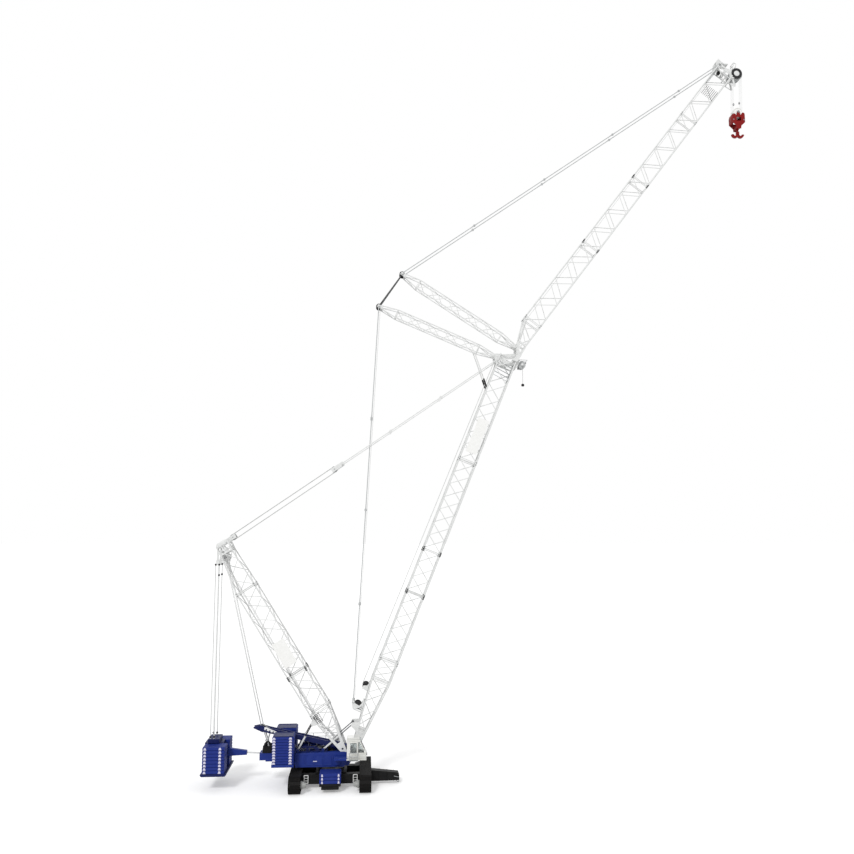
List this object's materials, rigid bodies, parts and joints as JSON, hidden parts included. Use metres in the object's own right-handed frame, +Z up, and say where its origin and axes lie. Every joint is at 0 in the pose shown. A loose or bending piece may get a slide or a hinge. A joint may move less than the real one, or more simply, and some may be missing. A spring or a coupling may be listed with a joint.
{
  "type": "crawler crane",
  "caption": "Crawler crane at 1:10 with lattice boom, luffing jib, derrick mast and hanging ballast tray; slews, luffs and hoists.",
  "frame": {"origin": "where the slew axis meets the ground", "axes": "+X along the boom away from the ballast, +Z up, +Y across; the tracks run along Y as the machine is parked"},
  "size_m": [7.305, 1.0298, 9.8563],
  "materials": {
    "black_chassis_paint": "satin",
    "blue_paint": "gloss",
    "dark_blue_paint": "gloss",
    "white_lattice_paint": "satin",
    "cast_track_steel": "matte",
    "ballast_blue": "satin",
    "grey_steel": "satin",
    "dark_sheave": "satin",
    "red_paint": "gloss",
    "cream_paint": "gloss",
    "cab_glass": "polished",
    "seat_plastic": "matte"
  },
  "bodies": {
    "undercarriage": {"carbody": "black_chassis_paint", "track_frames": "black_chassis_paint", "track_left": "cast_track_steel", "track_right": "cast_track_steel", "track_wheels": "cast_track_steel", "central_ballast": "ballast_blue", "support_beam": "black_chassis_paint"},
    "superstructure": {"slew_ring": "grey_steel", "platform": "blue_paint", "engine_house": "blue_paint", "engine_block": "black_chassis_paint", "winches": "grey_steel", "counterweight_frame": "blue_paint", "counterweight_stacks": "ballast_blue", "a_frame": "dark_blue_paint", "a_frame_sheaves": "dark_sheave", "cab_base": "cream_paint"},
    "tilting_cab": {"cab": "cream_paint", "cab_glass": "cab_glass", "cab_seat": "seat_plastic"},
    "sliding_door": {"cab_door": "cream_paint"},
    "derrick_mast": {"mast_foot": "white_lattice_paint", "mast_insert_1": "white_lattice_paint", "mast_insert_2": "white_lattice_paint", "mast_head": "white_lattice_paint"},
    "ballast_tray": {"tray_frame": "blue_paint", "tray_stacks": "ballast_blue", "tray_pendants": "grey_steel"},
    "guide_outer": {"guide_arm": "blue_paint"},
    "guide_inner": {"guide_rod": "grey_steel"},
    "mast_stop_barrels": {"mast_backstop_barrels": "white_lattice_paint"},
    "mast_stop_rods": {"mast_backstop_rods": "dark_sheave"},
    "boom_stop_barrels": {"boom_backstop_barrels": "white_lattice_paint"},
    "boom_stop_rods": {"boom_backstop_rods": "grey_steel"},
    "derrick_link": {"mast_link": "dark_sheave"},
    "pendants": {"boom_pendants": "grey_steel"},
    "main_boom": {"boom_foot": "white_lattice_paint", "boom_insert_1": "white_lattice_paint", "boom_insert_2": "white_lattice_paint", "boom_insert_3": "white_lattice_paint", "boom_head": "white_lattice_paint", "boom_head_sheaves": "dark_sheave", "boom_winches": "dark_sheave", "rear_strut": "white_lattice_paint", "boom_stays": "grey_steel"},
    "luffing_jib": {"jib_foot": "white_lattice_paint", "jib_insert_1": "white_lattice_paint", "jib_insert_2": "white_lattice_paint", "jib_insert_3": "white_lattice_paint", "jib_head": "white_lattice_paint", "front_strut": "white_lattice_paint", "jib_stays": "grey_steel"},
    "near_head_sheaves": {"head_sheaves_near": "dark_sheave"},
    "far_head_sheaves": {"head_sheaves_far": "dark_sheave"},
    "rope_hanger": {"hoist_swivel": "grey_steel"},
    "lower_block": {"hook_block": "red_paint", "hook_sheaves": "grey_steel"},
    "swivel_hook": {"hook": "dark_sheave"}
  },
  "joints": [
    {"name": "slew", "type": "hinge", "parent": "undercarriage", "child": "superstructure", "pos_m": [0, 0, 0], "axis": [0, 0, 1], "continuous": true},
    {"name": "mast_luff", "type": "hinge", "parent": "superstructure", "child": "derrick_mast", "pos_m": [0.179, 0, 0.379], "axis": [0, 1, 0], "range_deg": [-2, 2]},
    {"name": "boom_luff", "type": "hinge", "parent": "derrick_mast", "child": "main_boom", "pos_m": [0.26, 0, 0.365], "axis": [0, -1, 0], "range_deg": [-2, 18]},
    {"name": "jib_luff", "type": "hinge", "parent": "main_boom", "child": "luffing_jib", "pos_m": [2.41673, 0, 5.44753], "axis": [0, -1, 0], "range_deg": [-37, 8]},
    {"name": "tray_hang", "type": "hinge", "parent": "derrick_mast", "child": "ballast_tray", "pos_m": [-1.46167, 0, 2.92642], "axis": [0, 1, 0], "range_deg": [-2, 2]},
    {"name": "guide_pivot", "type": "hinge", "parent": "ballast_tray", "child": "guide_outer", "pos_m": [-1.28667, 0, 0.4], "axis": [0, -1, 0], "range_deg": [-9.23, 9.23]},
    {"name": "guide_slide", "type": "slide", "parent": "guide_outer", "child": "guide_inner", "axis": [0.9984, 0, -0.0572], "range_m": [-0.0933, 0.0933]},
    {"name": "mast_stop_pivot", "type": "hinge", "parent": "superstructure", "child": "mast_stop_barrels", "pos_m": [-0.415, 0, 0.43], "axis": [0, -1, 0], "range_deg": [-0.67, 0.67]},
    {"name": "mast_stop_slide", "type": "slide", "parent": "mast_stop_barrels", "child": "mast_stop_rods", "axis": [0.49, 0, 0.8717], "range_m": [-0.0208, 0.0208]},
    {"name": "boom_stop_pivot", "type": "hinge", "parent": "superstructure", "child": "boom_stop_barrels", "pos_m": [-0.105, 0, 0.42], "axis": [0, -1, 0], "range_deg": [-1.43, 9.03]},
    {"name": "boom_stop_slide", "type": "slide", "parent": "boom_stop_barrels", "child": "boom_stop_rods", "axis": [0.7685, 0, 0.6398], "range_m": [-0.0962, 0.0152]},
    {"name": "pendant_pivot", "type": "hinge", "parent": "derrick_mast", "child": "derrick_link", "pos_m": [-1.36468, 0, 2.98821], "axis": [0, -1, 0], "range_deg": [-3.48, 22.06]},
    {"name": "pendant_slide", "type": "slide", "parent": "derrick_link", "child": "pendants", "axis": [0.8241, 0, 0.5664], "range_m": [-0.9987, 0.1577]},
    {"name": "head_sheave_near_turn", "type": "hinge", "parent": "luffing_jib", "child": "near_head_sheaves", "pos_m": [5.65127, 0, 9.63737], "axis": [0, -1, 0], "range_deg": [-18, 2]},
    {"name": "head_sheave_far_turn", "type": "hinge", "parent": "near_head_sheaves", "child": "far_head_sheaves", "pos_m": [5.65127, 0, 9.63737], "axis": [0, 1, 0], "range_deg": [-2, 2]},
    {"name": "hoist_rope_swing", "type": "hinge", "parent": "far_head_sheaves", "child": "rope_hanger", "pos_m": [5.65127, 0, 9.63737], "axis": [0, -1, 0], "range_deg": [-8, 37]},
    {"name": "hook_hoist", "type": "slide", "parent": "rope_hanger", "child": "lower_block", "axis": [0, 0, -1], "range_m": [-0.15, 5.8]},
    {"name": "hook_turn", "type": "hinge", "parent": "lower_block", "child": "swivel_hook", "pos_m": [5.65127, 0, 8.8], "axis": [0, 0, 1], "continuous": true},
    {"name": "cab_tilt", "type": "hinge", "parent": "superstructure", "child": "tilting_cab", "pos_m": [0.2, 0, 0.373], "axis": [0, -1, 0], "range_deg": [0, 20]},
    {"name": "cab_door_slide", "type": "slide", "parent": "tilting_cab", "child": "sliding_door", "axis": [-1, 0, 0], "range_m": [0, 0.09]}
  ],
  "couplings": [
    {"joint": "tray_hang", "follows": "mast_luff", "ratio": -1},
    {"joint": "guide_pivot", "follows": "mast_luff", "ratio": -4.1974},
    {"joint": "guide_slide", "follows": "mast_luff", "m_per_rad": -2.4297},
    {"joint": "mast_stop_pivot", "follows": "mast_luff", "ratio": -0.306},
    {"joint": "mast_stop_slide", "follows": "mast_luff", "m_per_rad": 0.54274},
    {"joint": "boom_stop_pivot", "follows": "boom_luff", "ratio": 0.4755},
    {"joint": "boom_stop_slide", "follows": "boom_luff", "m_per_rad": -0.29019},
    {"joint": "pendant_pivot", "follows": "boom_luff", "ratio": 1.1608},
    {"joint": "pendant_slide", "follows": "boom_luff", "m_per_rad": -3.0118},
    {"joint": "head_sheave_near_turn", "follows": "boom_luff", "ratio": -1},
    {"joint": "head_sheave_far_turn", "follows": "mast_luff", "ratio": -1},
    {"joint": "hoist_rope_swing", "follows": "jib_luff", "ratio": -1}
  ]
}
